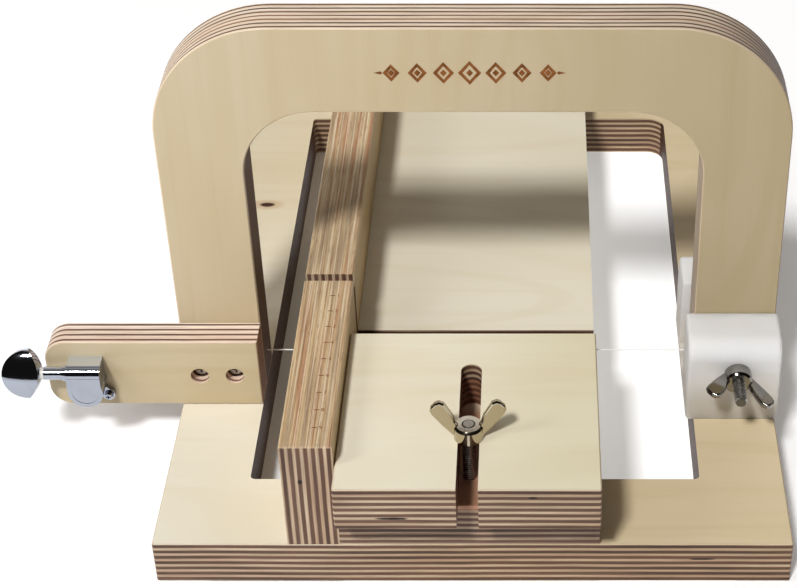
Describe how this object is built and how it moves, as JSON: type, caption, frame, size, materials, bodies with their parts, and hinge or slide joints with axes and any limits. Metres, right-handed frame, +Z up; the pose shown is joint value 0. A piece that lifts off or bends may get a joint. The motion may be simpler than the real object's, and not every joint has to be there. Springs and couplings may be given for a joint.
{
  "type": "single-wire soap cutter",
  "caption": "Plywood wire cutter for soap loaves: slotted base, fence, sliding stop plate and a hinged arch whose taut wire is tightened by a worm tuner.",
  "frame": {"origin": "centre of the base's flat underside", "axes": "+X to the user's right, +Y away from the user along the loaf bed, +Z up"},
  "size_m": [0.3091, 0.3468, 0.1855],
  "materials": {
    "plywood": "smooth bare birch plywood",
    "nylon": "satin white nylon",
    "zinc_steel": "bright zinc plate",
    "nickel": "nickel plate",
    "tuner_chrome": "polished chrome plate",
    "washer_plastic": "matte white",
    "bronze": "bright",
    "wire_steel": "drawn bright steel"
  },
  "bodies": {
    "base": {"base_frame": "plywood", "bed_board": "plywood", "guide_fence": "plywood", "bed_screws": "zinc_steel", "fence_screws": "zinc_steel", "block_screws": "zinc_steel", "pivot_block": "nylon", "pivot_bolt": "zinc_steel", "stop_bolt": "zinc_steel"},
    "stop": {"stop_plate": "plywood"},
    "stop_nut": {"stop_wing_nut": "nickel"},
    "pivot_nut": {"pivot_wing_nut": "nickel"},
    "arch": {"arch_frame": "plywood", "tuner_arm": "plywood", "arm_screws": "zinc_steel", "tuner_housing": "tuner_chrome", "tuner_cap": "tuner_chrome", "tuner_screw": "tuner_chrome", "tuner_bushing": "tuner_chrome", "cutting_wire": "wire_steel", "wire_ball_end": "bronze"},
    "button": {"worm_shaft": "tuner_chrome", "tuner_button": "tuner_chrome", "button_screw": "tuner_chrome", "button_washer": "washer_plastic"},
    "post": {"string_post": "tuner_chrome", "worm_wheel": "bronze", "gear_screw": "bronze", "wire_winding": "wire_steel"}
  },
  "joints": [
    {"name": "arch_swing", "type": "hinge", "parent": "base", "child": "arch", "pos_m": [0.10365, -0.06335, 0.0425], "axis": [0, 1, 0], "range_deg": [0, 75]},
    {"name": "stop_slide", "type": "slide", "parent": "base", "child": "stop", "axis": [0, 1, 0], "range_m": [-0.038, 0.02]},
    {"name": "stop_nut_turn", "type": "hinge", "parent": "base", "child": "stop_nut", "pos_m": [-0.001, -0.151, 0.0645], "axis": [0, 0, 1], "continuous": true},
    {"name": "pivot_nut_turn", "type": "hinge", "parent": "base", "child": "pivot_nut", "pos_m": [0.10365, -0.107, 0.0425], "axis": [0, 1, 0], "continuous": true},
    {"name": "button_turn", "type": "hinge", "parent": "arch", "child": "button", "pos_m": [-0.18, -0.092, 0.0408], "axis": [1, 0, 0], "continuous": true},
    {"name": "post_turn", "type": "hinge", "parent": "arch", "child": "post", "pos_m": [-0.156, -0.077, 0.0336], "axis": [0, 1, 0], "continuous": true}
  ],
  "couplings": [
    {"joint": "post_turn", "follows": "button_turn", "ratio": 0.071429}
  ]
}
